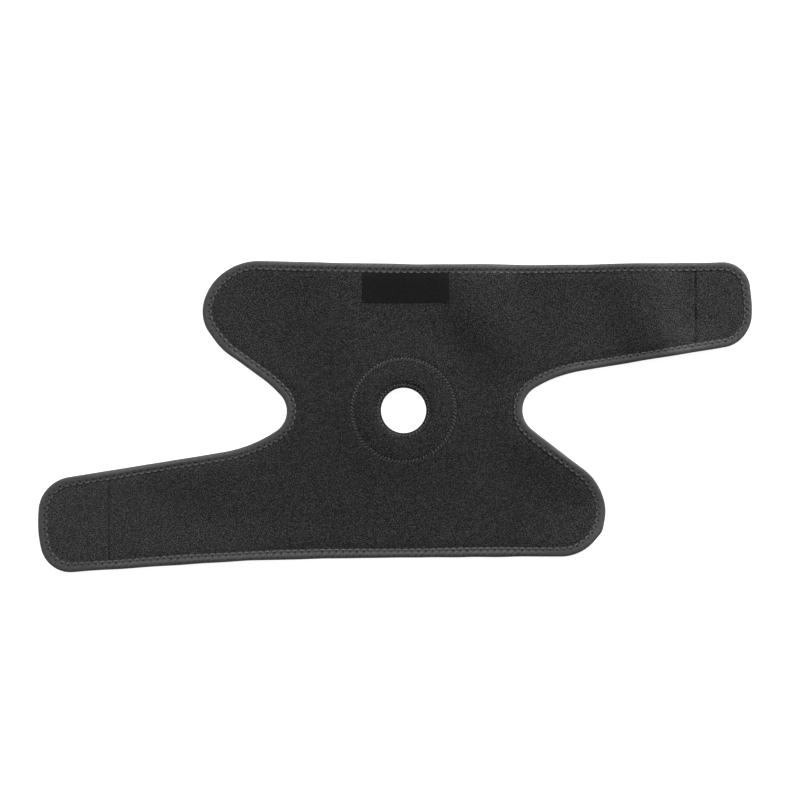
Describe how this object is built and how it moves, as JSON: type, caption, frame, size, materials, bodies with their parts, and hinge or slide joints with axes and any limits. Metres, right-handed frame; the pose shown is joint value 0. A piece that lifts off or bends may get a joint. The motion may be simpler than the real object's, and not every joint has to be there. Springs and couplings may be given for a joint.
{
  "type": "patella stabilizing knee brace",
  "caption": "Soft wrap-around knee brace laid flat: a padded panel with an open kneecap hole, opposed straps with hook tabs, bound edges and a bare label.",
  "frame": {"origin": "middle of the footprint, on the surface that the brace lies on", "axes": "+X along the straps to the end of the right strap, +Y to the edge with the label, +Z out of the outer face"},
  "size_m": [0.5704, 0.2487, 0.008],
  "materials": {
    "loop_fabric": "matt brushed loop pile over foam",
    "binding_tape": "soft woven stretch tape",
    "pad_felt": "matt knitted cover",
    "hook_tape": "bristly nylon hooks",
    "label_satin": "smooth satin weave"
  },
  "bodies": {
    "root": {"panel": "loop_fabric", "edge_binding": "binding_tape", "patella_pad": "pad_felt", "hook_tab_left": "hook_tape", "hook_tab_right": "hook_tape", "label": "label_satin"}
  },
  "joints": []
}
